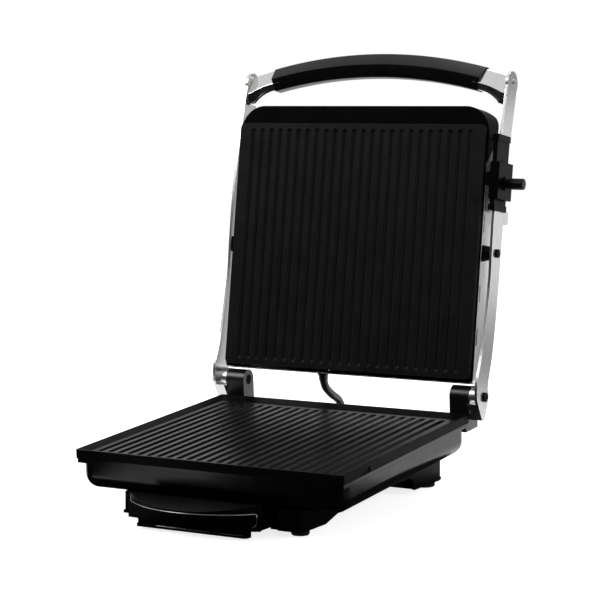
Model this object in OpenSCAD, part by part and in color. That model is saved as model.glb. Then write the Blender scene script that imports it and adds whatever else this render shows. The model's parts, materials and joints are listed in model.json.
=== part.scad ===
// Contact grill with a sloping ribbed base, a lid that floats between two arms, a height clip on
// the right arm and a drip tray. Millimetres, +Z up, front towards -Y. The origin is on the
// counter, under the middle of the object's box.
// Two more frames are used. The deck's frame has its origin in the middle of the rim's top, with Y
// along the slope. The lid's frame has its origin on the hinge axis, Z up along the open arms and
// Y towards the back.

/* [Deck] */
// Width of the base rim
deck_w = 300; // [284:1:304]
// Depth of the base rim, front to back
deck_d = 282; // [268:1:300]
// Height of the rim's middle above the counter
deck_h = 76; // [76:1:90]
// Forward slope of the cooking surface, degrees
deck_slope = 4; // [3:0.5:5]
// Thickness of the rim
rim_t = 9; // [8:0.5:12]
// Corner radius of the rim
rim_r = 2; // [1.5:0.5:6]
// Width of the rim's sloping border at the sides and front
border_side = 9.5; // [8:0.5:12]
// Width of the rim's sloping border at the back
border_back = 16; // [12:0.5:20]
// Flat edge left on top of the rim
rim_edge = 2; // [1:0.5:4]

/* [Base shell] */
// Thickness of the shell's top flange
flange_t = 4.5; // [3:0.5:6]
// How far the shell's side stands in from the rim
shell_inset = 2.5; // [2:0.5:6]
// Depth of the shell below its flange
shell_h = 27; // [24:0.5:28]
// Radius of the shell's lower edges and corners
shell_r = 15; // [12:1:18]
// Wall of the shell
shell_wall = 2.5; // [2:0.1:3]

/* [Stand] */
// Width of the stand
stand_w = 203; // [196:1:214]
// Front of the stand, ahead of the deck's middle
stand_front = 132; // [126:1:134]
// Back of the stand, behind the deck's middle
stand_back = 182; // [178:1:190]
// Height of the stand's rear housing
rear_h = 54; // [50:1:58]
// Wall of the stand
stand_wall = 3; // [2.5:0.1:3.5]
// Corner radius of the stand
stand_r = 10; // [6:1:14]
// Height of the rubber feet
foot_h = 6; // [5:0.5:7]
// Diameter of the rear feet
rear_foot_d = 24; // [18:1:26]
// Diameter of the front feet
front_foot_d = 18; // [14:1:19]
// Height of the side arches above the counter
arch_h = 20; // [16:1:20]

/* [Drip tray] */
// How far the sides of the tray's front stand in from the stand's
tray_in = 28.5; // [27.5:0.5:34]
// How far the tray's front stands ahead of the stand
tray_ahead = 28; // [22:1:34]
// How far the pull bulges ahead of the tray's front
pull_bulge = 30; // [22:1:34]
// Width of the skirt under the tray's front
skirt_w = 124; // [110:1:132]
// Depth of the tray inside the stand
tray_depth = 92; // [70:1:92]
// Height of the tray's rim above the counter
tray_rim_h = 25; // [22:0.5:25]
// Wall of the tray
tray_wall = 1.8; // [1.4:0.1:2.4]

/* [Plates] */
// How far the upper plate's sides stand in from the lid's
upper_in = 2; // [1.5:0.5:5]
// How much longer the upper plate is than the lower one
upper_more = 10.5; // [6:0.5:11.5]
// Thickness of the upper plate at its margin
plate_t = 5.2; // [4.5:0.1:5.4]
// Extra thickness of a plate's middle
plate_block = 5; // [4:0.5:5.5]
// How far the lower plate lies under the rim's top
plate_recess = 3.5; // [3:0.5:4]
// Corner radius of the plates
plate_r = 5; // [3:0.5:9]
// Least distance from the lower plate's side to the middle of its first groove
groove_edge = 9; // [8.5:0.1:14]
// Spacing of the grooves
groove_pitch = 11.4; // [10.5:0.1:11.4]
// Radius of a groove
groove_r = 3.4; // [3:0.1:4]
// Depth of a groove
groove_deep = 2.5; // [2:0.1:2.9]

/* [Hinge] */
// Distance of the hinge axis behind the rim
hinge_back = 16.25; // [15.5:0.25:18]
// Height of the hinge axis above the rim's top
hinge_up = 15.25; // [15:0.25:17]
// Angle between the two plates with the lid open, degrees
open_angle = 102; // [98:1:106]
// Radius of a hinge post's rounded top
post_r = 11; // [9:0.5:11]
// Width of a hinge post
post_w = 22; // [18:1:24]
// Diameter of the hinge pins
pin_d = 8; // [6:0.5:9]

/* [Arms] */
// How far the arms' outer faces stand outside the rim
arm_gap = 10; // [10:0.5:14]
// Thickness of an arm
arm_t = 3; // [2.5:0.1:3]
// Distance from the hinge axis to the lid's pivot
pivot_up = 151; // [150:1:156]
// How far the middles of the arms' round tops stand past the lid's end
arm_past = 28; // [24:1:32]
// Radius of the arms' round tops
arm_end_r = 13; // [12:0.5:14]
// Radius of the arms' hub
hub_r = 11.5; // [9:0.5:11.5]

/* [Handle] */
// How far the handle's middle stands above the arms' tops
handle_rise = 20; // [18:1:26]
// Radius of the handle's arch
handle_arch = 520; // [480:5:640]
// Length of the handle's bare ends
handle_end = 30; // [26:1:44]
// Height of the grip's section
grip_h = 28; // [26:1:32]
// Depth of the grip's section
grip_t = 24; // [22:1:28]
// Radius of the grip's edges
grip_r = 10; // [6:0.5:10]

/* [Height clip] */
// How far the lower end of the clip's rail lies below the arms' tops
rail_down = 137; // [134:1:142]
// Length of the rail
rail_len = 80; // [76:1:90]
// Height of the clip
clip_h = 39; // [34:1:40]
// How far the clip stands ahead of the rail
clip_ahead = 3.5; // [2.5:0.5:12]
// Diameter of the clip's knob
knob_d = 12; // [10:0.5:14]
// Length of the clip's knob
knob_len = 19; // [14:1:22]

/* [Lid] */
// Depth of the lid's shell behind the plate
lid_depth = 37.3; // [36:0.1:40]
// Lower end of the lid's shell, from the hinge axis
lid_low = 12.5; // [12.5:0.1:13.5]
// Length of the lid's shell past the upper plate
lid_end = 20; // [18:1:23]
// Length of the end cap on the lid's back
cap_len = 45; // [42:1:52]
// Radius of the shell's long back edges
lid_r = 16; // [10:1:18]
// Radius of the shell's corners beside the hinge
lid_corner = 5; // [3:0.5:12]
// Radius of the shell's corners at the handle's end
cap_corner = 28; // [16:1:30]
// Thickness of the steel cover
cover_t = 1; // [0.8:0.1:1.4]
// Wall of the end cap
cap_wall = 2.5; // [2:0.1:2.6]

/* [Cable] */
// Diameter of the cable between the base and the lid
cable_d = 8.5; // [7:0.5:9]

/* [Hidden] */
$fn = 48;
fit = 0.3;                // gap between neighbouring pieces
running = 0.06;           // radial gap of the hinge pins and pivot screws
closed_gap = 0.4;         // gap between the closed lid and the rim
skin = 0.8;               // thickness of pressed inner sheets
boss_r = 3.5;             // radius of inner screw posts
over = 1;                 // how far cutting shapes run past what they cut
far = 400;                // longer than any piece

half_w = deck_w / 2;
half_d = deck_d / 2;
shell_z = -rim_t - flange_t;              // heights in the deck's frame
shell_low = shell_z - shell_h;
shell_w = deck_w - 2 * shell_inset;
shell_d = deck_d - 2 * shell_inset;
hinge_dy = half_d + hinge_back;
hinge_y = hinge_dy * cos(deck_slope) - hinge_up * sin(deck_slope);
hinge_z = deck_h + hinge_dy * sin(deck_slope) + hinge_up * cos(deck_slope);
lid_lean = open_angle - 90 - deck_slope;  // lean of the open lid past upright

lower_w = deck_w - 2 * border_side;
upper_w = deck_w - 2 * upper_in;
lower_d = deck_d - border_side - border_back;
upper_d = lower_d + upper_more;
groove_count = floor((lower_w - 2 * groove_edge) / groove_pitch) + 1;
lower_y = (border_side - border_back) / 2;    // middle of the lower plate
block_w = lower_w - 16;                   // the plates' thick middles
block_d = lower_d - 16;
element_r = 3.3;
element_run = 70;                         // spacing of the heating element's straight runs
element_len = 150;
pan_w = block_w - 4;
pan_d = block_d - 8;
pan_h = 9;
element_z = -fit - element_r;             // middle of the element below a plate's thick middle
thermostat_r = 8;
thermostat_h = 14;

stand_mid = (stand_back - stand_front) / 2;
stand_len = stand_back + stand_front;
tray_w = stand_w - 2 * tray_in;
bay_w = tray_w + 5;                       // opening of the tray's bay
bay_wall = 2;
runner_x = bay_w / 2 + 0.8;               // inner faces of the runners beside the tray
bay_back = -stand_front + 4 + tray_depth; // rear end of the tray
bay_top = 30;
leg_floor = 3;
panel_z = 20;                             // underside of the stand's bottom panel
panel_t = 2;
panel_screws = [0, 100];                  // places of the panel's screws, front to back
panel_screw_x = stand_w / 2 - 13.5;
screw_hole = 2;
leg_w = 35.5;
leg_len = 67;
rear_leg = [stand_w / 2 - leg_w, stand_back - leg_len];   // inner corner of a rear leg's floor
front_leg_y = 40 - stand_front;           // rear end of a front leg's floor
front_foot = [stand_w / 2 - 12.5, 20 - stand_front];
rear_foot = [stand_w / 2 - 15.5, stand_back - 16];
arch_front = front_leg_y + 4;
arch_back = rear_leg[1] - 3;
arch_r = 14;
base_gland = [-42, 38];                   // across and up, on the stand's rear wall
mains_gland = [60, 34];
gland_r = 6.5;
gland_out = 12;                           // how far the wall glands stand out behind
shell_hold = 23;                          // how far the stand reaches under the shell's back
terminal = [44, 16, 14];
terminal_at = [10, stand_back - 42];

tray_y = -stand_front - tray_ahead;       // middle of the tray's front panel
tray_t = 4;                               // thickness of the tray's front panel
tray_in_w = tray_w - 10;
tray_z = 8.4;                             // underside of the tray
front_low = 3;                            // underside of the tray's front
front_top = 34.5;
recess_z = 10;                            // top of the finger recess under the tray's front
skirt_ahead = 5;                          // how far the skirt's foot stands ahead of the panel
skirt_r = 4;
lip_t = 2.6;
lip_low = 26;                             // underside of the pull's lip
lip_w = tray_w - 6;

hub_in = half_w - 2.6;                    // inner end of the arms' hubs
post_x = hub_in - 0.4;                    // outer faces of the hinge posts
arm_x = half_w + arm_gap;                 // the arms' outer faces
arm_in = arm_x - arm_t;
upper_low = lid_low + 4.5;
upper_mid = upper_low + upper_d / 2;
lid_high = upper_low + upper_d + lid_end;
cap_start = lid_high - cap_len;
arm_top = lid_high + arm_past;
foot_in = 3;                              // a hinge post's foot below the rim's top
head_t = 2.2;                             // thickness of the outer screw heads
pivot_back = 8.1;
pivot_r = 3;
handle_up = arm_top + handle_rise;
handle_back = 20;                         // middle of the handle's section, behind the axis
grip_w = 2 * (arm_in - handle_end);
bar_h = grip_h - 1.5;
bar_t = grip_t - 3;
flare = [22, 7];                          // length and drop of the fillet under the handle's ends
bar_r = 6;
core_r = 7;
handle_screw = [26, arm_top + 2];         // back and up
pivot_head_r = 4.6;
handle_head_r = 3.6;
head_screw_r = 3;
head_screw_len = 12;
collar_r = 7.5;

// The arms' middle line and half width, as [distance from the hinge axis, back, half width].
arm_line = [
    [-4, -3.2, 14.5], [15, -5.7, 13.9], [50, 1.7, 13], [114, 7.5, 11.3], [155, 7.2, 11.8],
    [200, 8, 12.5], [arm_top - 84, 10.5, 11.5], [arm_top - 41, 16, 12],
    [arm_top, 21.5, arm_end_r - 0.6]
];
arm_steps = 6;
tail_low = -24.5;
tail_back = [-1.5, 5];                    // front and back of the tail's end
lobe = [17, arm_top - rail_down - 5.5, 16];          // back, up and radius of the lobe behind the right arm

rail_low = arm_top - rail_down;           // lower end of the rail, from the hinge axis
rail_x = [arm_in - 1, arm_x + 1];         // inner and outer faces of the clip's rail
rail_y = [-10, 21];                       // front and back of the rail
collar_h = 6.5;
clip_low = rail_low + collar_h + 5.5;
clip_gap = 0.35;
clip_x = [rail_x[0] - clip_gap - 1.15, rail_x[1] + clip_gap + 4.65];
clip_y = [rail_y[0] - clip_ahead, rail_y[1] + clip_gap + 1.15];
clip_travel = rail_low + rail_len - collar_h - clip_low - clip_h - 0.5;
knob_v = clip_low + clip_h / 2 - 2.5;
knob_back = 5;
knob_edge = 1.5;                          // radius of the knob's end
clip_notch = 2.5;                         // cut at the clip's front corner beside the lid
tip_r = 1.5;
stem_r = 2.4;
chamber_r = 4.2;
chamber_end = clip_x[1] + 0.5;
clip_boss_end = clip_x[1] + 1.7;
knob_x = clip_boss_end + 0.5;
knob_end = knob_x + knob_len;
tab_up = [14, 28];                        // the clip's tab, from the clip's lower end
dent_v = clip_low + 48;                   // middle of the rim's dent, from the hinge axis
dent_len = 22;

plate_face = -hinge_up + closed_gap;      // the upper plate's face, in the lid's frame
lid_front = plate_face + plate_t + 0.35;  // front edge of the lid's shell
lid_back = lid_front + lid_depth;
cap_slant = 15;                           // the seam's drop on the lid's sides
cap_slant_d = 13;
frame_y = lid_front + 0.1;                // front face of the lid's inner frame
frame_t = 3;
frame_w = deck_w - 2 * cap_wall - 0.6;
lid_gland = [19.6, 12];                   // back and lower end of the cable's gland on the lid
lid_gland_len = 16;
gland_tilt = 10;                          // lean of the lid's gland towards the back
gland_gap = 1.6;                          // gap left under it, where it swings over the cable's end
lid_post = [half_w - 50, lid_low + 11.5, lid_high - 28];  // across, and two places up
lamp = [22, lid_high - 22];               // across and up
vents = [[53, 71], [99, 116], [172, 190]];

grip_far = hinge_y + handle_up * sin(lid_lean) + handle_back * cos(lid_lean)
         + (grip_h / 2 - grip_r) * sin(lid_lean) + (grip_t / 2 - grip_r) * cos(lid_lean) + grip_r;
center_x = (knob_end - arm_x - head_t) / 2;
center_y = (grip_far + tray_y - tray_t / 2 - pull_bulge) / 2;

// Route of the cable from the stand's rear gland to the lid's, chosen by eye: back and up.
cable_route = [
    [stand_back + gland_out + fit, base_gland[1]], [199.1, 38], [204.9, 38.8], [211.9, 42],
    [217.4, 47.5], [220.6, 54.5], [221.3, 62.2], [219.3, 69.7], [214.9, 76.1], [208.9, 80.3],
    [202.5, 83.4], [196.3, 86.4], [189.4, 90.8], [183.8, 94.7], [180.2, 99], [177.8, 104.4]
];

pull_travel = 2;                          // of the clip's knob

function catmull(p, i, t) = let (
    a = p[max(i - 1, 0)], b = p[i], c = p[i + 1], d = p[min(i + 2, len(p) - 1)]
) (2 * b + (c - a) * t + (2 * a - 5 * b + 4 * c - d) * t * t
    + (3 * b - a - 3 * c + d) * t * t * t) / 2;
function smooth(p, n) = concat(
    [for (i = [0:len(p) - 2], k = [0:n - 1]) catmull(p, i, k / n)], [p[len(p) - 1]]
);
function reversed(p) = [for (i = [len(p) - 1:-1:0]) p[i]];

module place() {
    translate([-center_x, -center_y, 0]) children();
}
module on_deck() {
    place() translate([0, 0, deck_h]) rotate([deck_slope, 0, 0]) children();
}
module on_lid() {
    place() translate([0, hinge_y, hinge_z]) rotate([-lid_lean, 0, 0]) children();
}
module both() {
    for (side = [0, 1]) mirror([side, 0, 0]) children();
}
// Draws a flat shape given as [back, up] and gives it thickness across, from x0 to x1.
module across(x0, x1) {
    translate([x0, 0, 0]) rotate([90, 0, 90]) linear_extrude(x1 - x0) children();
}
module rod(x0, x1, r) {
    translate([x0, 0, 0]) rotate([0, 90, 0]) cylinder(h = x1 - x0, r = r);
}
module box(x, y, z) {
    translate([x[0], y[0], z[0]]) cube([x[1] - x[0], y[1] - y[0], z[1] - z[0]]);
}
module rounded(w, d, r) {
    square([w - 2 * r, d], center = true);
    square([w, d - 2 * r], center = true);
    for (x = [-1, 1], y = [-1, 1]) translate([x * (w / 2 - r), y * (d / 2 - r)]) circle(r);
}
module slab(w, d, r, z0, z1) {
    translate([0, 0, z0]) linear_extrude(z1 - z0) rounded(w, d, r);
}
// A shell's outer shape: flat and square-edged on top at z = 0, round below and at the corners.
module tub(w, d, h, r) {
    intersection() {
        box([-w / 2, w / 2], [-d / 2, d / 2], [-h, 0]);
        union() {
            for (s = [[w - 2 * r, d - 2 * r, h], [w, d - 2 * r, h - r], [w - 2 * r, d, h - r]])
                box([-s[0] / 2, s[0] / 2], [-s[1] / 2, s[1] / 2], [s[2] == h ? -h : r - h, 0]);
            for (x = [-1, 1], y = [-1, 1]) translate([x * (w / 2 - r), y * (d / 2 - r), r - h]) {
                sphere(r);
                cylinder(h = h - r, r = r);
            }
            for (y = [-1, 1]) translate([0, y * (d / 2 - r), r - h]) rod(r - w / 2, w / 2 - r, r);
            for (x = [-1, 1]) translate([x * (w / 2 - r), r - d / 2, r - h])
                rotate([-90, 0, 0]) cylinder(h = d - 2 * r, r = r);
        }
    }
}
module hollow_tub(w, d, h, r, wall) {
    difference() {
        tub(w, d, h, r);
        translate([0, 0, over]) tub(w - 2 * wall, d - 2 * wall, h - wall + over, r - wall);
    }
}
// A cooking plate, ribbed side up. The margin's top is z = 0 and the middle is thicker.
module grill_plate(w, d, t) {
    groove_len = d - 11 - 2 * groove_r;
    difference() {
        union() {
            slab(w, d, plate_r, -t, 0);
            slab(block_w, block_d, plate_r, -t - plate_block, -t);
        }
        for (i = [0:groove_count - 1])
            translate([(i - (groove_count - 1) / 2) * groove_pitch, 0, groove_r - groove_deep]) {
                rotate([90, 0, 0]) cylinder(h = groove_len, r = groove_r, center = true);
                for (y = [-0.5, 0.5]) translate([0, y * groove_len, 0]) sphere(groove_r);
            }
    }
}
// A tubular heating element bent to and fro, with its two cold pins at the back.
module heating_element() {
    for (i = [-1.5:1:1.5]) translate([i * element_run, 0, 0])
        rotate([90, 0, 0]) cylinder(h = element_len, r = element_r, center = true);
    for (x = [-1, 1]) translate([x * element_run, -element_len / 2, 0])
        rotate([0, 0, 180]) rotate_extrude(angle = 180) translate([element_run / 2, 0])
            circle(element_r);
    translate([0, element_len / 2, 0]) rotate_extrude(angle = 180)
        translate([element_run / 2, 0]) circle(element_r);
    for (x = [-1.5, 1.5]) translate([x * element_run, element_len / 2, 0])
        rotate([-90, 0, 0]) cylinder(h = 14, r = element_r / 2);
}
// A tray of thin sheet around an element, open on top at z = 0, with a hole for the thermostat.
module heat_reflector() {
    difference() {
        slab(pan_w, pan_d, plate_r, -pan_h, 0);
        slab(pan_w - 2 * skin, pan_d - 2 * skin, plate_r - skin, skin - pan_h, over);
        translate([0, 0, -pan_h - over]) cylinder(h = 2 * over + skin, r = thermostat_r + 0.5);
    }
}
module thermostat() {
    translate([0, 0, -thermostat_h]) cylinder(h = thermostat_h, r = thermostat_r);
    for (x = [-1, 1]) translate([x * 5 - 1.5, -0.4, -thermostat_h - 3]) cube([3, 0.8, 4]);
}
module pan_screw(r, t, shank_r, len) {
    difference() {
        cylinder(h = t, r = r);
        translate([-r * 0.7, -0.5, t / 2]) cube([r * 1.4, 1, t]);
    }
    translate([0, 0, -len]) cylinder(h = len, r = shank_r);
}

// ---- Base ----

module deck_rim() {
    inner = [lower_w / 2 + fit, lower_d / 2 + fit];
    color("dimgray") on_deck() difference() {
        slab(deck_w, deck_d, rim_r, -rim_t, 0);
        translate([0, lower_y, 0])
            slab(2 * inner[0], 2 * inner[1], plate_r + fit, -rim_t - over, over);
        intersection() {
            rotate([90, 0, 0]) linear_extrude(far, center = true) polygon([
                [rim_edge - half_w, over], [rim_edge - half_w, 0], [-inner[0], -plate_recess],
                [inner[0], -plate_recess], [half_w - rim_edge, 0], [half_w - rim_edge, over]
            ]);
            across(-far / 2, far / 2) polygon([
                [rim_edge - half_d, over], [rim_edge - half_d, 0],
                [lower_y - inner[1], -plate_recess], [lower_y + inner[1], -plate_recess],
                [half_d - rim_edge, 0], [half_d - rim_edge, over]
            ]);
        }
        // A finger-wide dent in the right edge, under the clip's tab when the lid is shut
        box([half_w - 1.2, half_w + over],
            [hinge_dy - dent_v - dent_len / 2, hinge_dy - dent_v + dent_len / 2], [-8, -3]);
    }
}
module base_housing() {
    color("black") on_deck() {
        difference() {
            slab(deck_w - 2, deck_d - 2, rim_r - 1, shell_z, -rim_t);
            translate([0, lower_y, 0])
                slab(block_w + 1, block_d + 1, plate_r, shell_z - over, over);
        }
        difference() {
            translate([0, 0, shell_z]) hollow_tub(shell_w, shell_d, shell_h, shell_r, shell_wall);
            // Cable way down into the stand
            translate([0, 60, shell_low - over]) cylinder(h = shell_wall + 2 * over, r = 12);
        }
    }
}
module lower_grill_plate() {
    color("gray") on_deck() translate([0, lower_y, -plate_recess])
        grill_plate(lower_w, lower_d, rim_t - plate_recess);
}
module lower_heating_element() {
    color("dimgray") on_deck() translate([0, lower_y, -rim_t - plate_block + element_z])
        heating_element();
}
module lower_heat_reflector() {
    color("silver") on_deck() translate([0, lower_y, -rim_t - plate_block - fit])
        heat_reflector();
}
module lower_thermostat() {
    color("ivory") on_deck() translate([0, lower_y, -rim_t - plate_block - fit]) thermostat();
}
// The stand's outline in plan, with its corners round.
module stand_plan(inset, z0, z1) {
    translate([0, stand_mid, 0])
        slab(stand_w - 2 * inset, stand_len - 2 * inset, stand_r - inset, z0, z1);
}
module base_stand() {
    inner_x = stand_w / 2 - stand_wall;
    color("black") difference() {
        place() union() {
            difference() {
                stand_plan(0, foot_h, rear_h);
                stand_plan(stand_wall, foot_h - over, rear_h - stand_wall);
                // Bay for the tray, open to the front
                box([-bay_w / 2, bay_w / 2], [-stand_front - over, -stand_front + 12], [0, 36]);
                // Arches between the feet, through both side walls
                across(-far / 2, far / 2) {
                    polygon([
                        [arch_front, 0], [arch_front, foot_h - 1], [-40, arch_h - 3], [0, arch_h],
                        [arch_back - arch_r, arch_h], [arch_back - arch_r, 0]
                    ]);
                    intersection() {
                        translate([arch_back - arch_r, arch_h - arch_r]) circle(arch_r);
                        translate([arch_back - arch_r, 0]) square(arch_h);
                    }
                }
                for (g = [base_gland, mains_gland]) translate([g[0], stand_back, g[1]])
                    rotate([90, 0, 0]) cylinder(h = 3 * stand_wall, r = gland_r + 0.1, center = true);
            }
            both() {
                box([runner_x + bay_wall + fit, inner_x + 1], [1 - stand_front, front_leg_y],
                    [foot_h, foot_h + leg_floor]);
                box([rear_leg[0], inner_x + 1], [rear_leg[1], stand_back - 1],
                    [foot_h, foot_h + leg_floor]);
                // Bosses for the bottom panel's screws
                for (y = panel_screws) box([panel_screw_x - 4, inner_x + 1], [y - 4.5, y + 4.5],
                    [panel_z + panel_t, panel_z + panel_t + 12]);
            }
        }
        place() both() {
            for (f = [front_foot, rear_foot]) translate(f) cylinder(h = 20, r = screw_hole);
            for (y = panel_screws) translate([panel_screw_x, y, 0])
                cylinder(h = 32, r = screw_hole);
        }
        // Everything above the base shell's flat bottom is cut away, and the shell's own place
        on_deck() {
            box([-far, far], [-far, half_d - shell_hold], [shell_low - fit, far]);
            translate([0, 0, shell_z])
                tub(shell_w + 2 * fit, shell_d + 2 * fit, shell_h + fit, shell_r + fit);
        }
    }
}
// Two angle runners beside and under the tray.
module tray_runners() {
    front = stand_wall + fit - stand_front;
    color("dimgray") difference() {
        place() both() {
            box([runner_x, runner_x + bay_wall], [front, bay_back], [foot_h, bay_top]);
            box([tray_in_w / 2 - 2, runner_x + 1], [front, bay_back], [foot_h, tray_z - fit]);
        }
        on_deck() box([-far, far], [-far, far], [shell_low - fit, far]);
    }
}
module bottom_panel() {
    color("dimgray") place() difference() {
        intersection() {
            stand_plan(stand_wall + fit, panel_z, panel_z + panel_t);
            box([-far, far], [bay_back + bay_wall, far], [0, far]);
        }
        both() for (y = panel_screws) translate([panel_screw_x, y, 0])
            cylinder(h = far, r = screw_hole);
    }
}
module rubber_feet() {
    color("black") place() both() for (f = [[front_foot, front_foot_d], [rear_foot, rear_foot_d]])
        translate(f[0]) difference() {
            union() {
                cylinder(h = 1.5, r1 = f[1] / 2 - 1, r2 = f[1] / 2);
                translate([0, 0, 1.5]) cylinder(h = foot_h - 1.5, r = f[1] / 2);
            }
            translate([0, 0, -over]) cylinder(h = 3 + over, r = 3.6);
            cylinder(h = far, r = screw_hole);
        }
}
module base_screws() {
    color("silver") place() {
        both() for (f = [front_foot, rear_foot]) translate([f[0], f[1], 3])
            mirror([0, 0, 1]) pan_screw(3.2, 1.8, screw_hole - 0.1, foot_h + 2);
        both() for (y = panel_screws) translate([panel_screw_x, y, panel_z])
            mirror([0, 0, 1]) pan_screw(3.5, 1.8, screw_hole - 0.1, 9);
    }
}
module terminal_block() {
    pitch = (terminal[0] - 2) / 3;
    color("ivory") place() translate([terminal_at[0], terminal_at[1], panel_z + panel_t])
        difference() {
            cube(terminal);
            for (i = [0:2]) translate([1 + (i + 0.5) * pitch, terminal[1] / 2, 0]) {
                translate([0, 0, terminal[2] / 2 - 2]) cylinder(h = far, r = 3);
                translate([-2, -far, 2]) cube([4, 2 * far, 2]);
            }
        }
}
// A strain relief through the stand's rear wall, with a flange outside and a nut inside.
module wall_gland(at, bore) {
    place() translate([at[0], stand_back, at[1]]) rotate([-90, 0, 0]) difference() {
        union() {
            translate([0, 0, -stand_wall - 4]) cylinder(h = stand_wall + 4 + gland_out, r = gland_r);
            cylinder(h = 2.5, r = gland_r + 2);
            translate([0, 0, -stand_wall - 3]) cylinder(h = 3, r = gland_r + 2, $fn = 6);
        }
        translate([0, 0, -20]) cylinder(h = 60, r = bore);
    }
}
module mains_gland_bush() {
    color("black") wall_gland(mains_gland, 3.2);
}
module base_cable_gland() {
    color("black") wall_gland(base_gland, 3.4);
}
module hinge_post() {
    mid = hinge_dy;
    difference() {
        union() {
            across(post_x - post_w, post_x) {
                translate([mid, hinge_up]) circle(post_r);
                translate([mid - post_r, shell_z]) square([2 * post_r, hinge_up - shell_z]);
                translate([half_d, shell_z]) square([mid + post_r - half_d, -shell_z - foot_in]);
                translate([shell_d / 2 + fit, shell_z - 6])
                    square([mid + post_r - shell_d / 2 - fit, 6]);
            }
        }
        translate([0, mid, hinge_up]) {
            rod(0, far, pin_d / 2 + running);
            rod(0, post_x - post_w + 3, pin_d / 2 + 1.6);
        }
    }
}
module left_hinge_post() {
    color("black") on_deck() mirror([1, 0, 0]) hinge_post();
}
module right_hinge_post() {
    color("black") on_deck() hinge_post();
}
module hinge_pins() {
    color("silver") on_deck() translate([0, hinge_dy, hinge_up]) both() {
        difference() {
            rod(post_x - post_w + 0.6, arm_x + head_t, pin_d / 2);
            // Socket for the key
            rod(arm_x + head_t - 1.5, far, 1.8);
        }
        difference() {
            rod(arm_x + fit, arm_x + head_t, pin_d / 2 + 1);
            rod(arm_x + head_t - 1.5, far, 1.8);
        }
        rod(post_x - post_w + 0.6, post_x - post_w + 2.8, pin_d / 2 + 1.4);
    }
}

// ---- Drip tray ----

module drip_tray() {
    depth = [tray_y + tray_t / 2, bay_back];
    color("dimgray") place() difference() {
        translate([0, (depth[0] + depth[1]) / 2, 0])
            slab(tray_in_w, depth[1] - depth[0], 5, tray_z, tray_rim_h);
        translate([0, (depth[0] + depth[1]) / 2, 0])
            slab(tray_in_w - 2 * tray_wall, depth[1] - depth[0] - 2 * tray_wall, 5 - tray_wall,
                tray_z + tray_wall, far);
    }
}
// Plan of the pull: the piece of a circle that stands ahead of the tray's front by its bulge.
module crescent(bulge, z0, z1) {
    r = (pow(lip_w / 2, 2) + bulge * bulge) / (2 * bulge);
    intersection() {
        translate([0, tray_y - tray_t / 2 + r - bulge, z0]) cylinder(h = z1 - z0, r = r);
        box([-lip_w / 2, lip_w / 2], [-far, tray_y], [z0, z1]);
    }
}
// The space under the pull's sloping top, which falls from the panel to the middle of its edge.
module under_slope(down) {
    front = tray_y - tray_t / 2;
    across(-far, far) polygon([
        [front - pull_bulge, 0], [front - pull_bulge, lip_low + lip_t - down],
        [front, front_top - down], [front + far, front_top - down], [front + far, 0]
    ]);
}
module drip_tray_front() {
    panel = [tray_y - tray_t / 2, tray_y + tray_t / 2];
    color("black") place() {
        box([-tray_w / 2, tray_w / 2], panel, [recess_z, front_top]);
        box([-skirt_w / 2, skirt_w / 2], panel, [front_low, recess_z]);
        translate([0, panel[1] - (tray_t + skirt_ahead) / 2, 0])
            slab(skirt_w, tray_t + skirt_ahead, skirt_r, front_low, front_low + lip_t);
        difference() {
            intersection() {
                crescent(pull_bulge, lip_low, front_top);
                under_slope(0);
            }
            intersection() {
                crescent(pull_bulge - lip_t, lip_low - over, front_top);
                under_slope(lip_t);
            }
        }
    }
}

// ---- Arms and handle ----

module arm_outline() {
    line = smooth(arm_line, arm_steps);
    front = [for (p = line) [p[1] - p[2], p[0]]];
    back = [for (p = line) [p[1] + p[2], p[0]]];
    polygon(concat([[tail_back[0], tail_low]], front, reversed(back), [[tail_back[1], tail_low]]));
    translate([arm_line[8][1], arm_top]) circle(arm_end_r);
}
module arm_body() {
    difference() {
        union() {
            across(arm_in, arm_x) arm_outline();
            rod(hub_in, arm_x, hub_r);
            // The tail is thicker than the arm
            intersection() {
                across(hub_in, arm_x) arm_outline();
                box([0, far], [-far, far], [-far, -8]);
            }
        }
        rod(0, far, pin_d / 2 + running);
        translate([0, pivot_back, pivot_up]) rod(0, far, pivot_r + running);
        translate([0, handle_screw[0], handle_screw[1]]) rod(0, far, 2.1);
    }
}
module left_arm() {
    color("silver") on_lid() mirror([1, 0, 0]) arm_body();
}
module right_arm() {
    color("silver") on_lid() {
        arm_body();
        // A small lobe behind the rail's lower end
        across(arm_in, arm_x) intersection() {
            translate([lobe[0], lobe[1]]) circle(lobe[2]);
            translate([lobe[0] - 5, lobe[1] - 7]) square([40, 14]);
        }
    }
}
module pivot_screws() {
    color("silver") on_lid() translate([0, pivot_back, pivot_up]) both() {
        rod(half_w - 8, arm_x, pivot_r);
        translate([arm_x, 0, 0]) rotate([0, 90, 0]) pan_screw(pivot_head_r, head_t, pivot_r, 1);
    }
}
// Turns a section, given as [out, forward], about the middle of the handle's arch.
module arch(a0, a1) {
    translate([0, handle_back, handle_up - handle_arch]) rotate([90, 0, 0])
        rotate_extrude(angle = a1 - a0, start = 90 - a1) translate([handle_arch, 0]) children();
}
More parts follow.
